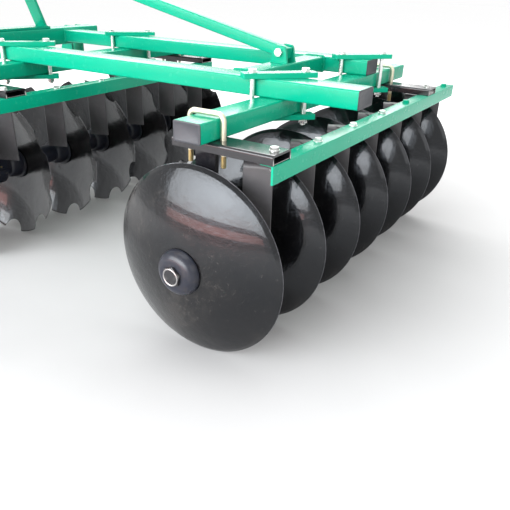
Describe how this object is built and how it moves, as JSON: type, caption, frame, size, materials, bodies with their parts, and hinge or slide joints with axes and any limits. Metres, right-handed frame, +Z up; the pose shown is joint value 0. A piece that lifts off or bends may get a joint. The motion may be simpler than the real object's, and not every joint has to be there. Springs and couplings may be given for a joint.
{
  "type": "disc harrow",
  "caption": "Mounted offset disc harrow: notched discs on the front gang, plain discs on the rear gang, on a welded tube frame with a three-point hitch.",
  "frame": {"origin": "on the ground under the middle of the whole machine", "axes": "+Y forward, towards the tractor; +X to the machine's right; +Z up"},
  "size_m": [1.7078, 2.0868, 1.21],
  "materials": {
    "green_paint": "bright green gloss enamel",
    "black_paint": "satin black paint",
    "disc_enamel": "glossy black enamel",
    "zinc_plate": "zinc plated"
  },
  "bodies": {
    "frame": {"front_arm_left": "black_paint", "front_arm_right": "black_paint", "front_clamp_left": "green_paint", "front_clamp_right": "green_paint", "front_cross_tube": "green_paint", "front_gang_beam": "green_paint", "front_hanger_left": "black_paint", "front_hanger_right": "black_paint", "front_scraper_1": "black_paint", "front_scraper_2": "black_paint", "front_scraper_3": "black_paint", "front_scraper_4": "black_paint", "front_scraper_5": "black_paint", "front_scraper_6": "black_paint", "front_scraper_7": "black_paint", "front_scraper_bar": "green_paint", "front_ubolt_left": "zinc_plate", "front_ubolt_right": "zinc_plate", "lower_hitch_left": "green_paint", "lower_hitch_right": "green_paint", "main_tube_left": "green_paint", "main_tube_right": "green_paint", "mast": "green_paint", "mast_stay": "green_paint", "rear_arm_left": "black_paint", "rear_arm_right": "black_paint", "rear_clamp_left": "green_paint", "rear_clamp_right": "green_paint", "rear_cross_member": "green_paint", "rear_gang_beam": "green_paint", "rear_hanger_left": "black_paint", "rear_hanger_right": "black_paint", "rear_scraper_1": "black_paint", "rear_scraper_2": "black_paint", "rear_scraper_3": "black_paint", "rear_scraper_4": "black_paint", "rear_scraper_5": "black_paint", "rear_scraper_6": "black_paint", "rear_scraper_7": "black_paint", "rear_scraper_bar": "green_paint", "rear_ubolt_left": "zinc_plate", "rear_ubolt_right": "zinc_plate"},
    "rear_gang": {"rear_disc_1": "disc_enamel", "rear_disc_2": "disc_enamel", "rear_disc_3": "disc_enamel", "rear_disc_4": "disc_enamel", "rear_disc_5": "disc_enamel", "rear_disc_6": "disc_enamel", "rear_disc_7": "disc_enamel", "rear_gang_axle": "black_paint"},
    "front_gang": {"front_disc_1": "disc_enamel", "front_disc_2": "disc_enamel", "front_disc_3": "disc_enamel", "front_disc_4": "disc_enamel", "front_disc_5": "disc_enamel", "front_disc_6": "disc_enamel", "front_disc_7": "disc_enamel", "front_gang_axle": "black_paint"}
  },
  "joints": [
    {"name": "rear_gang_spin", "type": "hinge", "parent": "frame", "child": "rear_gang", "pos_m": [-0.7138, -0.73092, 0.27893], "axis": [0.9997, -0.0236, 0], "continuous": true},
    {"name": "front_gang_spin", "type": "hinge", "parent": "frame", "child": "front_gang", "pos_m": [-0.7138, 0.42048, 0.27893], "axis": [0.9997, 0.0236, 0], "continuous": true}
  ]
}
